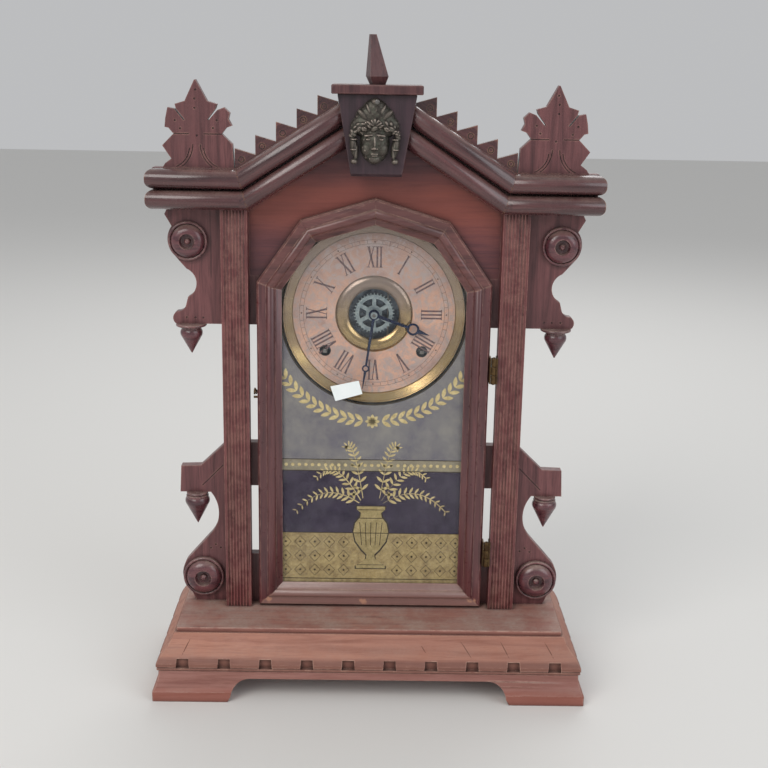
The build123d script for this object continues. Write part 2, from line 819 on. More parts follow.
with BuildPart() as right_leaf:
    with BuildSketch(front_plane(leaf_front + leaf_thickness)):
        Polygon(*leaf_outline, align=None)
    extrude(amount=leaf_thickness)
    with BuildSketch(front_plane(leaf_depth, leaf_axis, leaf_foot)):
        with Locations(*leaf_dots):
            Circle(dot_radius)
    extrude(amount=dot_depth + 1, mode=Mode.SUBTRACT)
    with BuildSketch(front_plane(leaf_depth, leaf_axis, leaf_foot)):
        with BuildLine():
            Line((6, 27.4), (19.5, 27.4))
            Line((-6, 27.4), (-21.5, 27.4))
            for side in (1, -1):
                ThreePointArc((side * 3.0, 19), (side * 5.5, 9), (side * 12.5, 0.8))
                ThreePointArc((side * 5.8, 16), (side * 8.5, 8), (side * 17.0, 0.8))
        trace(line_width=incision_width)
    extrude(amount=dot_depth + 1, mode=Mode.SUBTRACT)
with BuildPart() as leaf_ornaments:
    add(right_leaf.part)
    mirror(right_leaf.part, about=Plane.YZ)
write(leaf_ornaments.part, "leaf_ornaments")

# Keystone block, cap and obelisk
with BuildPart() as keystone_block:
    with BuildSketch(front_plane(cornice_front)):
        Polygon((-keystone_bottom_half, keystone_bottom), (keystone_bottom_half, keystone_bottom),
                (keystone_top_half, cap_bottom), (-keystone_top_half, cap_bottom), align=None)
    extrude(amount=cornice_front - keystone_front)
    chamfer(keystone_block.faces().sort_by(Axis.Y)[0].edges().group_by(Axis.Z)[0], 2.5)
write(keystone_block.part, "keystone_block")

with BuildPart() as keystone_cap:
    with BuildSketch(Plane.XY.offset(cap_bottom)):
        with Locations((0, (cap_front + cap_back) / 2)):
            Rectangle(2 * cap_half_width, cap_back - cap_front)
    extrude(amount=cap_thickness)
    chamfer(keystone_cap.edges(), 0.7)
write(keystone_cap.part, "keystone_cap")

cap_top = cap_bottom + cap_thickness
with BuildPart() as obelisk_finial:
    for low, low_side, low_x, high, high_side, high_x in (
            (0, obelisk_neck_side, 0, obelisk_shoulder, obelisk_side, -0.4),
            (obelisk_shoulder, obelisk_side, -0.4, obelisk_height, obelisk_tip_side, -obelisk_lean)):
        with BuildSketch(Plane(origin=(low_x, obelisk_y, cap_top + low))):
            Rectangle(low_side, low_side, rotation=obelisk_twist)
        with BuildSketch(Plane(origin=(high_x, obelisk_y, cap_top + high))):
            Rectangle(high_side, high_side, rotation=obelisk_twist)
        loft(ruled=True)
write(obelisk_finial.part, "obelisk_finial")

# Cast head mask on the keystone: face, peaked hood, rolled brow band and two side locks
face_height = 17.0
face_half = 12.6
face_z = 477.5
hood_half = 20.5
hood_foot = 484.0
lock_x = 17.4
lock_radius = 3.4
nail_z = 507.4
hood_depth = 7.5
hood_outline = [(-hood_half, 0), (hood_half, 0), (hood_half + 0.6, 8), (hood_half - 2.6, 15.5),
                (12.5, 20.5), (6, 24),
                (2, 27.2), (-2, 27.2), (-6, 24), (-12.5, 20.5), (2.6 - hood_half, 15.5),
                (-hood_half - 0.6, 8)]
with BuildPart() as head_mask:
    with BuildSketch(front_plane(keystone_front, 0, face_z)):
        with BuildLine():
            Polyline((0, -face_height - 2.5), (0, face_height))
            ThreePointArc((0, face_height), (face_half, 2), (0, -face_height - 2.5))
        make_face()
    revolve(axis=Axis((0, keystone_front, face_z), (0, 0, 1)))
    split(bisect_by=Plane.XZ.offset(-keystone_front), keep=Keep.TOP)
    for depth, share in ((0, 1.0), (hood_depth * 0.6, 0.9), (hood_depth, 0.62)):
        with BuildSketch(front_plane(keystone_front - depth)):
            Polygon(*[(x * share, hood_foot + z * share) for x, z in hood_outline], align=None)
    loft(ruled=True)
    with BuildSketch(Plane.YZ.offset(-hood_half + 2)):
        with Locations((keystone_front - 7.5, hood_foot + 4)):
            Circle(4.6)
    extrude(amount=2 * hood_half - 4)
    for side in (1, -1):
        with BuildSketch(Plane.XY.offset(face_z - face_height - 1)):
            with Locations((side * lock_x, keystone_front - lock_radius)):
                Circle(lock_radius)
        extrude(amount=hood_foot - face_z + face_height + 4)
    with BuildSketch(front_plane(keystone_front, 0, nail_z)):
        Circle(small_screw_radius)
    extrude(amount=20, mode=Mode.SUBTRACT)
write(head_mask.part, "head_mask")

with BuildPart() as mask_nail:
    with BuildSketch(front_plane(keystone_front, 0, nail_z)):
        Circle(small_screw_radius - running_clearance)
    extrude(amount=8.6)
    with BuildSketch(front_plane(keystone_front - 8.4, 0, nail_z)):
        Circle(small_screw_head - 0.5)
    extrude(amount=1.0)
    fillet(mask_nail.faces().sort_by(Axis.Y)[0].edges(), 0.6)
write(mask_nail.part, "mask_nail")


# Door frame: seven moulded bars mitred at the corners, rebated behind for the glass
def frame_bar(start, end, inner_start, inner_end):
    length = hypot(end[0] - start[0], end[1] - start[1])
    along = ((end[0] - start[0]) / length, 0, (end[1] - start[1]) / length)
    inwards = (-along[2], 0, along[0])
    depth = door_back - door_front
    seat = door_back - glass_front
    rebate = frame_width - glass_rebate
    trim = (along[0] * gap_shift, along[2] * gap_shift)
    with BuildPart() as bar:
        with BuildSketch(Plane(origin=(start[0], door_back, start[1]), x_dir=inwards, z_dir=along)):
            with BuildLine():
                Polyline((rebate, seat), (rebate, 0), (0, 0), (0, depth - 3.4), (1.4, depth - 2.2),
                         (8.0, depth - 2.6))
                ThreePointArc((8.0, depth - 2.6), (11.8, depth), (15.6, depth - 2.6))
                Line((15.6, depth - 2.6), (16.4, depth - 3.2))
                ThreePointArc((16.4, depth - 3.2), (18.4, depth - 4.3), (frame_width, seat + 1.0))
                Polyline((frame_width, seat + 1.0), (frame_width, seat), (rebate, seat))
            make_face()
        extrude(amount=length)
        with BuildSketch(front_plane(door_back)):
            Polygon((start[0] + trim[0], start[1] + trim[1]), (end[0] - trim[0], end[1] - trim[1]),
                    (inner_end[0] - trim[0], inner_end[1] - trim[1]),
                    (inner_start[0] + trim[0], inner_start[1] + trim[1]), align=None)
        extrude(amount=depth, mode=Mode.INTERSECT)
    return bar.part


sight_outline = inset(door_outline, frame_width)
frame_bars = []
for i in range(len(door_outline)):
    j = (i + 1) % len(door_outline)
    frame_bars.append(frame_bar(door_outline[i], door_outline[j], sight_outline[i], sight_outline[j]))
write(frame_bars[1], "right_door_stile")
write(frame_bars[6], "left_door_stile")
with BuildPart() as door_rails:
    for bar in [frame_bars[0]] + frame_bars[2:6]:
        add(bar)
write(door_rails.part, "door_rails")

with BuildPart() as door_glass:
    with BuildSketch(front_plane(glass_front + glass_thickness)):
        Polygon(*inset(door_outline, frame_width - glass_rebate + glass_edge_gap), align=None)
    extrude(amount=glass_thickness)
write(door_glass.part, "door_glass")


# Hinges: a knuckle of three segments, the middle one on the door
def hinge_half(low, high, plate_x, plate_out, on_door):
    third = (high - low) / 3
    spans = [(low + third + 0.15, low + 2 * third - 0.15)]
    if not on_door:
        spans = [(low, low + third - 0.15), (low + 2 * third + 0.15, high)]
    with BuildPart() as half:
        with BuildSketch(Plane.XY.offset(low)):
            with Locations((plate_x + plate_out * leaf_plate / 2, hinge_y + hinge_leaf_depth / 2)):
                Rectangle(leaf_plate, hinge_leaf_depth)
        extrude(amount=high - low)
        for bottom, top in spans:
            with BuildSketch(Plane.XY.offset(bottom)):
                with Locations((hinge_x, hinge_y)):
                    Circle(knuckle_radius)
                with Locations(((plate_x + hinge_x) / 2, hinge_y)):
                    Rectangle(abs(hinge_x - plate_x), 1.6)
                with Locations((hinge_x, hinge_y)):
                    Circle(hinge_pin_radius + running_clearance, mode=Mode.SUBTRACT)
            extrude(amount=top - bottom)
    return half.part


hinge_spans = [(height - hinge_length / 2, height + hinge_length / 2) for height in hinge_heights]
door_halves = [hinge_half(low, high, door_half_width, 1, True) for low, high in hinge_spans]
case_halves = [hinge_half(low, high, pilaster_inner, -1, False) for low, high in hinge_spans]
with BuildPart() as door_hinge_leaves:
    for half in door_halves:
        add(half)
write(door_hinge_leaves.part, "door_hinge_leaves")
with BuildPart() as case_hinge_leaves:
    for half in case_halves:
        add(half)
write(case_hinge_leaves.part, "case_hinge_leaves")
with BuildPart() as hinge_pins:
    for low, high in hinge_spans:
        with BuildSketch(Plane.XY.offset(low - pin_overhang)):
            with Locations((hinge_x, hinge_y)):
                Circle(hinge_pin_radius)
        extrude(amount=high - low + 2 * pin_overhang)
write(hinge_pins.part, "hinge_pins")

# Latch: a hook on the case that drops over an eye pin in the door's edge
hook_near = -(case_half_width + 2.6)
eye_y = latch_y - hook_reach
hook_along = (0, -cos(radians(hook_lift)), sin(radians(hook_lift)))
hook_plane = Plane(origin=(hook_near, latch_y, latch_z), x_dir=hook_along, z_dir=(-1, 0, 0))
with BuildPart() as latch_hook:
    with BuildSketch(hook_plane):
        Circle(hook_width / 2 + 0.8)
        with Locations((hook_length / 2, 0)):
            Rectangle(hook_length, hook_width)
        with Locations((hook_length - hook_tip / 2, -0.8)):
            Rectangle(hook_tip, hook_width + 1.6)
        with Locations((hook_reach, -hook_width / 2)):
            Circle(latch_screw_radius + 0.4, mode=Mode.SUBTRACT)
        Circle(latch_screw_radius + running_clearance, mode=Mode.SUBTRACT)
    extrude(amount=hook_thickness)
write(latch_hook.part, "latch_hook")
screw_plane = Plane(origin=(hook_near - hook_thickness - 0.4, latch_y, latch_z), x_dir=(0, 1, 0),
                    z_dir=(1, 0, 0))
with BuildPart() as latch_screw:
    with BuildSketch(screw_plane):
        Circle(latch_screw_radius)
    extrude(amount=hook_thickness + 0.4 + 2.6 + side_thickness - 2.5)
    with BuildSketch(screw_plane):
        Circle(small_screw_head)
    extrude(amount=-1.2)
    with BuildSketch(Plane(origin=(hook_near + 0.4, latch_y, latch_z), x_dir=(0, 1, 0), z_dir=(1, 0, 0))):
        Circle(latch_screw_radius + 0.8)
    extrude(amount=2.2)
write(latch_screw.part, "latch_screw")
eye_z = latch_z - hook_width / 2 - eye_drop
with BuildPart() as latch_eye:
    with BuildSketch(Plane(origin=(-door_half_width, eye_y, eye_z), x_dir=(0, 1, 0), z_dir=(-1, 0, 0))):
        Circle(latch_screw_radius)
    extrude(amount=eye_length)
write(latch_eye.part, "latch_eye")

# Dial pan: pressed brass with a raised centre ring, a coned rim and two fixing lugs
dial_axis = Axis((0, 0, dial_z), (0, -1, 0))
dial_section = Plane(origin=(0, 0, dial_z), x_dir=(1, 0, 0), z_dir=(0, 0, -1))
pan_back = -(dial_face + paper_thickness + dial_sheet)
pan_face = pan_back + dial_sheet
ring_mid = (centre_ring_inner + centre_ring_outer) / 2
with BuildPart() as dial_pan:
    with BuildSketch(dial_section):
        with BuildLine():
            Line((centre_ring_inner, pan_back), (centre_ring_inner, pan_face))
            ThreePointArc((centre_ring_inner, pan_face), (ring_mid, pan_face + 2.6),
                          (centre_ring_outer, pan_face))
            Polyline((centre_ring_outer, pan_face), (paper_radius + 0.4, pan_face),
                     (paper_radius + 0.9, pan_face + 1),
                     (dial_radius - 2.2, -rim_front - 1.2))
            ThreePointArc((dial_radius - 2.2, -rim_front - 1.2), (dial_radius - 1.0, -rim_front),
                          (dial_radius, -rim_front - 1.2))
            Polyline((dial_radius, -rim_front - 1.2), (dial_radius, pan_back),
                     (dial_radius - 1.0, pan_back),
                     (dial_radius - 1.2, -rim_front - 2.6), (paper_radius + 2.4, pan_back),
                     (centre_ring_outer - 1, pan_back))
            ThreePointArc((centre_ring_outer - 1, pan_back), (ring_mid, pan_back + 2.4),
                          (centre_ring_inner + 1, pan_back))
            Line((centre_ring_inner + 1, pan_back), (centre_ring_inner, pan_back))
        make_face()
    revolve(axis=dial_axis)
    with BuildSketch(front_plane(-pan_back, 0, dial_z)):
        Rectangle(2 * lug_reach, 2 * lug_half_height)
        Circle(dial_radius - 0.5, mode=Mode.SUBTRACT)
    extrude(amount=dial_sheet)
    with BuildSketch(front_plane(-pan_back, 0, dial_z)):
        with Locations((pan_screw_x, 0), (-pan_screw_x, 0)):
            Circle(small_screw_radius + 0.1)
        with Locations((winding_x, -winding_drop), (-winding_x, -winding_drop)):
            Circle(winding_hole_radius)
    extrude(amount=10, mode=Mode.SUBTRACT)
write(dial_pan.part, "dial_pan")

with BuildPart() as paper_dial:
    with BuildSketch(front_plane(-pan_face, 0, dial_z)):
        Circle(paper_radius)
        Circle(centre_ring_outer + 0.3, mode=Mode.SUBTRACT)
        with Locations((winding_x, -winding_drop), (-winding_x, -winding_drop)):
            Circle(winding_hole_radius, mode=Mode.SUBTRACT)
    extrude(amount=paper_thickness)
write(paper_dial.part, "paper_dial")

with BuildPart() as dial_blocks:
    with BuildSketch(front_plane(-pan_back + block_depth, 0, dial_z)):
        with Locations(((block_inner + side_inner) / 2, 0)):
            Rectangle(side_inner - block_inner, 2 * block_half_height)
        with Locations((pan_screw_x, 0)):
            Circle(small_screw_radius + running_clearance, mode=Mode.SUBTRACT)
    extrude(amount=block_depth)
    mirror(about=Plane.YZ)
write(dial_blocks.part, "dial_blocks")

with BuildPart() as dial_screws:
    for side in (1, -1):
        with BuildSketch(front_plane(-pan_back + block_depth, side * pan_screw_x, dial_z)):
            Circle(small_screw_radius)
        extrude(amount=block_depth + dial_sheet)
        with BuildSketch(front_plane(-pan_face, side * pan_screw_x, dial_z)):
            Circle(small_screw_head)
            Rectangle(2 * small_screw_head, 0.6, mode=Mode.SUBTRACT)
        extrude(amount=0.9)
        with BuildSketch(front_plane(-pan_face, side * pan_screw_x, dial_z)):
            Circle(small_screw_head)
        extrude(amount=0.4)
write(dial_screws.part, "dial_screws")


# Hands, flat stampings with a ring in each
def hand_plane(y, angle):
    turn = radians(angle)
    return Plane(origin=(0, y, dial_z), x_dir=(cos(turn), 0, -sin(turn)), z_dir=(0, -1, 0))


def hand(y, angle, length, hub, hole, ring_place, ring_outer, ring_inner, root_half, tip_half):
    with BuildPart() as pointer:
        with BuildSketch(hand_plane(y + hand_thickness, angle)):
            Circle(hub)
            Polygon((-root_half, 0), (root_half, 0), (root_half * 0.7, ring_place - ring_outer + 0.4),
                    (-root_half * 0.7, ring_place - ring_outer + 0.4), align=None)
            with Locations((0, ring_place)):
                Circle(ring_outer)
            Polygon((-tip_half, ring_place + ring_outer - 0.6), (tip_half, ring_place + ring_outer - 0.6),
                    (0.25, length), (-0.25, length), align=None)
            with Locations((0, ring_place)):
                Circle(ring_inner, mode=Mode.SUBTRACT)
            Circle(hole, mode=Mode.SUBTRACT)
        extrude(amount=hand_thickness)
    return pointer.part


write(hand(minute_hand_y, minute_hand_angle, minute_hand_length, minute_hub_radius, arbor_radius,
           minute_ring_place, minute_ring_outer, minute_ring_inner, 1.3, 1.2), "minute_hand")
write(hand(hour_hand_y, hour_hand_angle, hour_hand_length, hour_hub_radius, hour_pipe_radius,
           hour_ring_place, hour_ring_outer, hour_ring_inner, 1.6, 1.9), "hour_hand")

with BuildPart() as hand_collet:
    with BuildSketch(front_plane(minute_hand_y, 0, dial_z)):
        Circle(collet_radius)
        Circle(arbor_radius, mode=Mode.SUBTRACT)
    extrude(amount=collet_thickness)
    chamfer(hand_collet.faces().sort_by(Axis.Y)[0].edges().sort_by(Edge.length)[-1], 0.5)
write(hand_collet.part, "hand_collet")


# Gears: straight-sided stub teeth with open backlash, so a coupled pair turns without touching
def gear_outline(x, z, teeth, radius, phase):
    module = 2 * radius / teeth
    step = 2 * pi / teeth
    tip = radius + tooth_addendum * module
    root = radius - tooth_dedendum * module
    points = []
    for i in range(teeth):
        for share, reach in ((-0.2, root), (-0.1, tip), (0.1, tip), (0.2, root)):
            angle = phase + (i + share) * step
            points.append((x + reach * cos(angle), z + reach * sin(angle)))
    return points


def saw_outline(x, z, teeth, outer, root):
    step = 2 * pi / teeth
    points = []
    for i in range(teeth):
        points.append((x + outer * cos(i * step), z + outer * sin(i * step)))
        points.append((x + root * cos((i + 0.12) * step), z + root * sin((i + 0.12) * step)))
    return points


def crossings(x, z, inner, outer, count, bar):
    # Windows between the spokes of a wheel
    with BuildSketch() as windows:
        with Locations((x, z)):
            Circle(outer)
            Circle(inner, mode=Mode.SUBTRACT)
        for i in range(count):
            turn = (i + 0.5) * 360 / count
            mid = (x + outer / 2 * cos(radians(turn)), z + outer / 2 * sin(radians(turn)))
            with Locations(mid):
                Rectangle(outer + bar, bar, rotation=turn, mode=Mode.SUBTRACT)
    return windows.sketch


def disc(x, z, radius, front, back):
    # Round bar along Y in the open part
    with BuildSketch(front_plane(back, x, z)) as face:
        Circle(radius)
    extrude(face.sketch, amount=back - front)


def bore(x, z, radius, front, back):
    with BuildSketch(front_plane(back + 1, x, z)) as face:
        Circle(radius)
    extrude(face.sketch, amount=back - front + 2, mode=Mode.SUBTRACT)


def wheel(outline, windows, front, back):
    with BuildSketch(front_plane(back)) as face:
        Polygon(*outline, align=None)
        if windows:
            add(windows, mode=Mode.SUBTRACT)
    extrude(face.sketch, amount=back - front)


def direction(start, end):
    return atan2(end[1] - start[1], end[0] - start[0])


# Arbor places on the plates, as (x, z)
centre_place = (0.0, dial_z)
great_place = (winding_x, winding_z)
stud_place = (motion_centres * cos(radians(stud_angle)),
              dial_z + motion_centres * sin(radians(stud_angle)))
great_radius = great_module * great_teeth / 2
second_pinion_radius = great_module * second_pinion_teeth / 2
transfer_radius = minute_module * transfer_teeth / 2
centre_to_great = hypot(winding_x, winding_drop)
great_to_second = great_radius + second_pinion_radius
centre_to_second = 2 * transfer_radius
spread = acos((centre_to_second ** 2 + centre_to_great ** 2 - great_to_second ** 2)
              / (2 * centre_to_second * centre_to_great))
second_angle = direction(centre_place, great_place) + spread
second_place = (centre_to_second * cos(second_angle), dial_z + centre_to_second * sin(second_angle))
cannon_radius = motion_centres * cannon_teeth / (cannon_teeth + minute_wheel_teeth)
minute_wheel_radius = motion_centres - cannon_radius
minute_pinion_radius = motion_centres * minute_pinion_teeth / (minute_pinion_teeth + hour_teeth)
hour_radius = motion_centres - minute_pinion_radius
back_plate_back = back_plate_y + plate_thickness


def half_step(teeth):
    return pi / teeth


# Plates, pillars, blocks and screws
plate_outline = [(-plate_half_bottom, plate_bottom), (plate_half_bottom, plate_bottom),
                 (plate_half_bottom, plate_waist), (plate_half_top, plate_top),
                 (-plate_half_top, plate_top),
                 (-plate_half_bottom, plate_waist)]
with BuildPart() as front_plate:
    wheel(plate_outline, None, front_plate_y, front_plate_back)
    bore(0, dial_z, arbor_radius + running_clearance, front_plate_y, front_plate_back)
    bore(*second_place, pivot_radius + running_clearance, front_plate_y, front_plate_back)
    bore(winding_x, winding_z, winding_arbor_radius + running_clearance, front_plate_y, front_plate_back)
    bore(-winding_x, winding_z, winding_arbor_radius + running_clearance, front_plate_y, front_plate_back)
    bore(escape_x, escape_z, pivot_radius + running_clearance, front_plate_y, front_plate_back)
    bore(escape_x, verge_z, arbor_radius + running_clearance, front_plate_y, front_plate_back)
    bore(hammer_x, hammer_z, pivot_radius + running_clearance, front_plate_y, front_plate_back)
    disc(*stud_place, pivot_radius, stud_front, front_plate_y)
    with BuildSketch(front_plane(front_plate_y, escape_x, suspension_z)):
        Rectangle(suspension_width, suspension_height)
        Rectangle(suspension_slot, suspension_height, mode=Mode.SUBTRACT)
    extrude(amount=front_plate_y - suspension_front)
write(front_plate.part, "front_plate")

with BuildPart() as back_plate:
    wheel(plate_outline, None, back_plate_y, back_plate_back)
    bore(0, dial_z, pivot_radius + running_clearance, back_plate_y, back_plate_back)
    bore(*second_place, pivot_radius + running_clearance, back_plate_y, back_plate_back)
    bore(winding_x, winding_z, pivot_radius + running_clearance, back_plate_y, back_plate_back)
    bore(-winding_x, winding_z, pivot_radius + running_clearance, back_plate_y, back_plate_back)
    bore(escape_x, escape_z, pivot_radius + running_clearance, back_plate_y, back_plate_back)
    bore(escape_x, verge_z, pivot_radius + running_clearance, back_plate_y, back_plate_back)
    bore(hammer_x, hammer_z, arbor_radius + running_clearance, back_plate_y, back_plate_back)
    for x, z in movement_screw_places:
        bore(x, z, mount_screw_radius, back_plate_y, back_plate_back)
        bore(-x, z, mount_screw_radius, back_plate_y, back_plate_back)
write(back_plate.part, "back_plate")

with BuildPart() as plate_pillars:
    for x, z in pillar_places:
        disc(x, z, pillar_radius, front_plate_back, back_plate_y)
        disc(-x, z, pillar_radius, front_plate_back, back_plate_y)
write(plate_pillars.part, "plate_pillars")

with BuildPart() as movement_blocks:
    for low_x, high_x, low_z, high_z in movement_block_spans:
        with BuildSketch(front_plane(backboard_front)):
            Polygon((low_x, low_z), (high_x, low_z), (high_x, high_z), (low_x, high_z), align=None)
        extrude(amount=backboard_front - back_plate_back)
    for x, z in movement_screw_places:
        with BuildSketch(front_plane(back_plate_back + mount_screw_depth, x, z)):
            Circle(mount_screw_radius)
        extrude(amount=mount_screw_depth, mode=Mode.SUBTRACT)
    mirror(about=Plane.YZ)
write(movement_blocks.part, "movement_blocks")

with BuildPart() as movement_screws:
    for x, z in movement_screw_places:
        disc(x, z, mount_screw_radius, back_plate_y, back_plate_back + mount_screw_depth)
        disc(x, z, mount_head_radius, back_plate_y - mount_head_height, back_plate_y)
        with BuildSketch(front_plane(back_plate_y - mount_head_height + 0.5, x, z)):
            Rectangle(2 * mount_head_radius, 0.7)
        extrude(amount=1.0, mode=Mode.SUBTRACT)
    mirror(about=Plane.YZ)
write(movement_screws.part, "movement_screws")

# Centre arbor with its wheel and the cannon pinion, then the motion work
with BuildPart() as minute_arbor:
    disc(0, dial_z, arbor_radius, minute_arbor_front, back_plate_y - shoulder_gap)
    disc(0, dial_z, pivot_radius, back_plate_y - shoulder_gap, back_plate_back)
    wheel(gear_outline(0, dial_z, transfer_teeth, transfer_radius, direction(centre_place, second_place)),
          crossings(0, dial_z, 3.6, transfer_radius - 1.8, 4, 1.8), transfer_front, transfer_back)
    wheel(gear_outline(0, dial_z, cannon_teeth, cannon_radius, direction(centre_place, stud_place)), None,
          cannon_front, cannon_back)
write(minute_arbor.part, "minute_arbor")

with BuildPart() as minute_wheel:
    wheel(gear_outline(*stud_place, minute_wheel_teeth, minute_wheel_radius,
                       direction(stud_place, centre_place) + half_step(minute_wheel_teeth)),
          crossings(*stud_place, 6.0, minute_wheel_radius - 2.6, 4, 2.4), minute_wheel_front,
          minute_wheel_back)
    wheel(gear_outline(*stud_place, minute_pinion_teeth, minute_pinion_radius,
                       direction(stud_place, centre_place)), None, minute_pinion_front,
                       minute_wheel_front)
    bore(*stud_place, pivot_radius + running_clearance, minute_pinion_front, minute_wheel_back)
write(minute_wheel.part, "minute_wheel")

with BuildPart() as hour_wheel:
    wheel(gear_outline(0, dial_z, hour_teeth, hour_radius,
                       direction(centre_place, stud_place) + half_step(hour_teeth)),
          crossings(0, dial_z, hour_window_inner, hour_window_outer, 6, hour_spoke), hour_wheel_front,
          hour_wheel_back)
    disc(0, dial_z, hour_pipe_radius, hour_pipe_front, hour_wheel_back)
    bore(0, dial_z, arbor_radius + running_clearance, hour_pipe_front, hour_wheel_back)
write(hour_wheel.part, "hour_wheel")

# Second arbor: transfer wheel, pinion of seven and its own large wheel
with BuildPart() as second_wheel:
    disc(*second_place, pivot_radius, front_plate_y, front_plate_back + shoulder_gap)
    disc(*second_place, arbor_radius, front_plate_back + shoulder_gap, back_plate_y - shoulder_gap)
    disc(*second_place, pivot_radius, back_plate_y - shoulder_gap, back_plate_back)
    wheel(gear_outline(*second_place, transfer_teeth, transfer_radius,
                       direction(second_place, centre_place) + half_step(transfer_teeth)),
          crossings(*second_place, 3.6, transfer_radius - 1.8, 4, 1.8), transfer_front, transfer_back)
    wheel(gear_outline(*second_place, second_pinion_teeth, second_pinion_radius,
                       direction(second_place, great_place)), None, great_front - 0.6, great_back + 0.6)
    wheel(gear_outline(*second_place, second_wheel_teeth, second_wheel_radius, 0.0),
          crossings(*second_place, 5.0, second_wheel_radius - 2.2, 4, 2.4), second_front, second_back)
write(second_wheel.part, "second_wheel")

# Great wheels with the click on the back, and winding arbors with barrel and ratchet
click_reach = ratchet_radius + click_gap


def great_wheel(x, phase, side):
    with BuildPart() as great:
        wheel(gear_outline(x, winding_z, great_teeth, great_radius, phase),
              crossings(x, winding_z, 16.0, great_radius - 3.2, 4, 5.0), great_front, great_back)
        disc(x + side * click_pivot[0], winding_z + click_pivot[1], click_boss, great_back, click_back)
        with BuildSketch(front_plane(click_back)):
            Polygon((x + side * (click_pivot[0] - 1.4), winding_z + click_pivot[1] + 0.6),
                    (x + side * (click_pivot[0] + 1.4), winding_z + click_pivot[1] - 0.6),
                    (x + side * (click_reach + 1.6), winding_z + 1.5),
                    (x + side * click_reach, winding_z + 1.0), align=None)
        extrude(amount=click_back - great_back)
        bore(x, winding_z, winding_arbor_radius + running_clearance, great_front, great_back)
    return great.part


def winding_arbor(x):
    with BuildPart() as arbor:
        with BuildSketch(front_plane(front_plate_y - 2.0, x, winding_z)):
            Rectangle(winding_square, winding_square)
        extrude(amount=front_plate_y - 2.0 - winding_front)
        disc(x, winding_z, winding_arbor_radius, front_plate_y - 2.0, back_plate_y - shoulder_gap)
        disc(x, winding_z, pivot_radius, back_plate_y - shoulder_gap, back_plate_back)
        disc(x, winding_z, barrel_radius, barrel_front, barrel_back)
        disc(x, winding_z, collar_radius, barrel_back, great_front - shoulder_gap)
        wheel(saw_outline(x, winding_z, ratchet_teeth, ratchet_radius, ratchet_root), None, ratchet_front,
              click_back)
    return arbor.part


time_phase = direction(great_place, second_place) + half_step(great_teeth)
write(great_wheel(winding_x, time_phase, 1), "time_great_wheel")
write(great_wheel(-winding_x, 0.0, -1), "strike_great_wheel")
write(winding_arbor(winding_x), "time_winding_arbor")
write(winding_arbor(-winding_x), "strike_winding_arbor")

# Mainsprings: a coil of strip that ends in an eye round the lower pillar
anchor = (pillar_places[0][0] - winding_x, pillar_places[0][1] - winding_z)
coil_outer = spring_inner + spring_turns * spring_pitch
tail_turn = direction((0, 0), anchor) - pi + acos(coil_outer / hypot(*anchor))
tail_length = sqrt(hypot(*anchor) ** 2 - coil_outer ** 2)


def coil_point(x, z):
    return x * cos(tail_turn) - z * sin(tail_turn), x * sin(tail_turn) + z * cos(tail_turn)


def coil_edge(offset):
    # One edge of the strip as half turns: each is (start, middle, end)
    arcs = []
    edge_x = -spring_inner
    radius = spring_inner
    side = 1
    for i in range(2 * spring_turns):
        reach = edge_x + side * 2 * radius
        middle = (edge_x + reach) / 2
        arcs.append(((edge_x - side * offset, 0), (middle, side * (radius + offset)),
                     (reach + side * offset, 0)))
        edge_x = reach
        side = -side
        radius += spring_pitch / 2
    return arcs


half_strip = spring_strip / 2
outer_arcs, inner_arcs = coil_edge(half_strip), coil_edge(-half_strip)
eye_start = tail_length - pillar_radius - spring_eye / 2
with BuildPart() as mainsprings:
    with BuildSketch(front_plane(spring_back, winding_x, winding_z)):
        with BuildLine():
            for arc in outer_arcs + inner_arcs:
                ThreePointArc(*[coil_point(*point) for point in arc])
            Line(coil_point(*outer_arcs[0][0]), coil_point(*inner_arcs[0][0]))
            Polyline(coil_point(*outer_arcs[-1][2]), coil_point(-coil_outer - half_strip, eye_start),
                     coil_point(-coil_outer + half_strip, eye_start), coil_point(*inner_arcs[-1][2]))
        make_face()
        with Locations(anchor):
            Circle(pillar_radius + spring_eye)
            Circle(pillar_radius, mode=Mode.SUBTRACT)
    extrude(amount=spring_back - spring_front)
    mirror(about=Plane.YZ)
write(mainsprings.part, "mainsprings")

# Escapement: escape wheel, verge with its crutch, and the pendulum that hangs from the same line
with BuildPart() as escape_wheel:
    disc(escape_x, escape_z, pivot_radius, front_plate_y, front_plate_back + shoulder_gap)
    disc(escape_x, escape_z, arbor_radius, front_plate_back + shoulder_gap, back_plate_y - shoulder_gap)
    disc(escape_x, escape_z, pivot_radius, back_plate_y - shoulder_gap, back_plate_back)
    wheel(saw_outline(escape_x, escape_z, escape_teeth, escape_radius, escape_radius - 2.0),
          crossings(escape_x, escape_z, 3.4, escape_radius - 3.6, 4, 1.6), escape_front, escape_back)
write(escape_wheel.part, "escape_wheel")

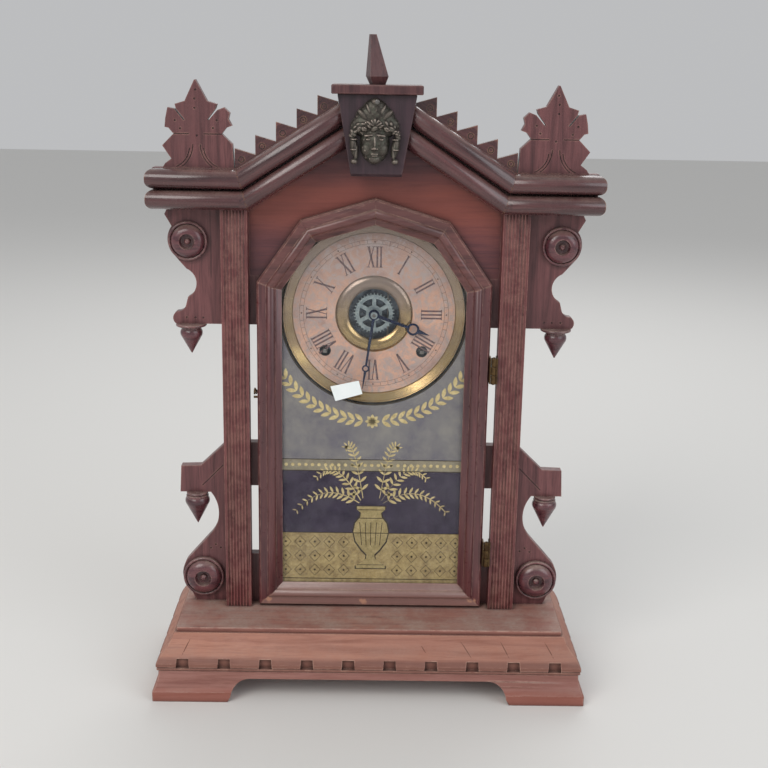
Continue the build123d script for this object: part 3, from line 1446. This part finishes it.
verge_reach = escape_radius + pallet_clearance
with BuildPart() as verge:
    disc(escape_x, verge_z, arbor_radius, crutch_front, back_plate_y - shoulder_gap)
    disc(escape_x, verge_z, pivot_radius, back_plate_y - shoulder_gap, back_plate_back)
    with BuildSketch(front_plane(verge_back, escape_x, escape_z)):
        with BuildLine():
            spread_x = (verge_reach + 1.0) * sin(radians(pallet_spread))
            spread_z = (verge_reach + 1.0) * cos(radians(pallet_spread))
            ThreePointArc((-spread_x, spread_z), (0, verge_reach + 1.0), (spread_x, spread_z))
        trace(line_width=1.8)
    extrude(amount=verge_back - verge_front)
    disc(escape_x, verge_z, verge_hub, verge_front, verge_back)
    with BuildSketch(front_plane(crutch_back, escape_x, verge_z)):
        Circle(verge_hub)
        with Locations((0, -crutch_length / 2)):
            Rectangle(1.8, crutch_length)
        with Locations((0, -crutch_length)):
            Rectangle(2 * prong_offset + 2 * prong_radius, 2.0)
    extrude(amount=crutch_back - crutch_front)
    for side in (1, -1):
        disc(escape_x + side * prong_offset, verge_z - crutch_length, prong_radius, prong_front,
             crutch_front)
write(verge.part, "verge")

with BuildPart() as pendulum_rod:
    with BuildSketch(Plane.XY.offset(rod_bottom)):
        with Locations((escape_x, pendulum_y)):
            Circle(rod_radius)
    extrude(amount=rod_top - rod_bottom)
    with BuildSketch(Plane.XY.offset(rod_bottom)):
        with Locations((escape_x, pendulum_y)):
            Circle(nut_radius)
    extrude(amount=nut_height)
    with BuildSketch(Plane.XY.offset(rod_top)):
        with Locations((escape_x, pendulum_y)):
            Rectangle(suspension_strip, 2 * rod_radius)
    extrude(amount=suspension_top - rod_top)
write(pendulum_rod.part, "pendulum_rod")

with BuildPart() as pendulum_bob:
    with BuildSketch(Plane(origin=(escape_x, pendulum_y, bob_z), x_dir=(1, 0, 0), z_dir=(0, 0, -1))):
        with BuildLine():
            Polyline((0, -bob_thickness / 2), (0, bob_thickness / 2))
            ThreePointArc((0, bob_thickness / 2), (bob_radius * 0.6, bob_thickness * 0.4),
                          (bob_radius, 0.6))
            Line((bob_radius, 0.6), (bob_radius, -0.6))
            ThreePointArc((bob_radius, -0.6), (bob_radius * 0.6, -bob_thickness * 0.4),
                          (0, -bob_thickness / 2))
        make_face()
    revolve(axis=Axis((escape_x, pendulum_y, bob_z), (0, -1, 0)))
    with BuildSketch(Plane.XY.offset(bob_z - bob_radius - 1)):
        with Locations((escape_x, pendulum_y)):
            Circle(rod_radius)
    extrude(amount=2 * bob_radius + 2, mode=Mode.SUBTRACT)
write(pendulum_bob.part, "pendulum_bob")

# Gong: a flat coil of square-ended wire on a cast stand, and the hammer that strikes its outer turn
gong_outer = gong_inner + (gong_half_turns - 1) * gong_pitch / 2
with BuildPart() as gong:
    with BuildLine(front_plane(gong_y, 0, gong_z)) as gong_line:
        edge_x = gong_inner
        radius = gong_inner
        side = -1
        for i in range(gong_half_turns):
            reach = edge_x + side * 2 * radius
            middle = (edge_x + reach) / 2
            ThreePointArc((edge_x, 0), (middle, -side * radius), (reach, 0))
            edge_x = reach
            side = -side
            radius += gong_pitch / 2
    with BuildSketch(Plane(origin=(gong_inner, gong_y, gong_z), x_dir=(1, 0, 0), z_dir=(0, 0, 1))):
        Circle(gong_wire / 2)
    sweep(path=gong_line.wires()[0])
write(gong.part, "gong")

with BuildPart() as gong_stand:
    disc(0, gong_z, gong_foot_radius, backboard_front - gong_foot_thickness, backboard_front)
    disc(0, gong_z, gong_post_radius, gong_y + gong_wire, backboard_front - gong_foot_thickness)
    with BuildSketch(front_plane(gong_y + gong_wire)):
        Polygon((-gong_post_radius, gong_z - gong_head_half), (gong_head_end, gong_z - gong_head_half),
                (gong_head_end, gong_z + gong_head_half), (-gong_post_radius, gong_z + gong_head_half),
                align=None)
    extrude(amount=2 * gong_wire)
    add(gong.part, mode=Mode.SUBTRACT)
write(gong_stand.part, "gong_stand")

head_x = -(gong_outer + gong_wire / 2 + hammer_gap + hammer_head_length / 2)
head_z = gong_z + 5.0
with BuildPart() as hammer:
    disc(hammer_x, hammer_z, pivot_radius, front_plate_y, front_plate_back + shoulder_gap)
    disc(hammer_x, hammer_z, arbor_radius, front_plate_back + shoulder_gap, gong_y + 2 * hammer_wire)
    reach = hypot(head_x - hammer_x, head_z - hammer_z)
    along = ((head_x - hammer_x) / reach, 0, (head_z - hammer_z) / reach)
    with BuildSketch(Plane(origin=(hammer_x, gong_y, hammer_z), x_dir=(0, 1, 0), z_dir=along)):
        Circle(hammer_wire)
    extrude(amount=reach)
    with BuildSketch(Plane(origin=(head_x - hammer_head_length / 2, gong_y, head_z), x_dir=(0, 1, 0),
                           z_dir=(1, 0, 0))):
        Circle(hammer_head_radius)
    extrude(amount=hammer_head_length)
write(hammer.part, "hammer")
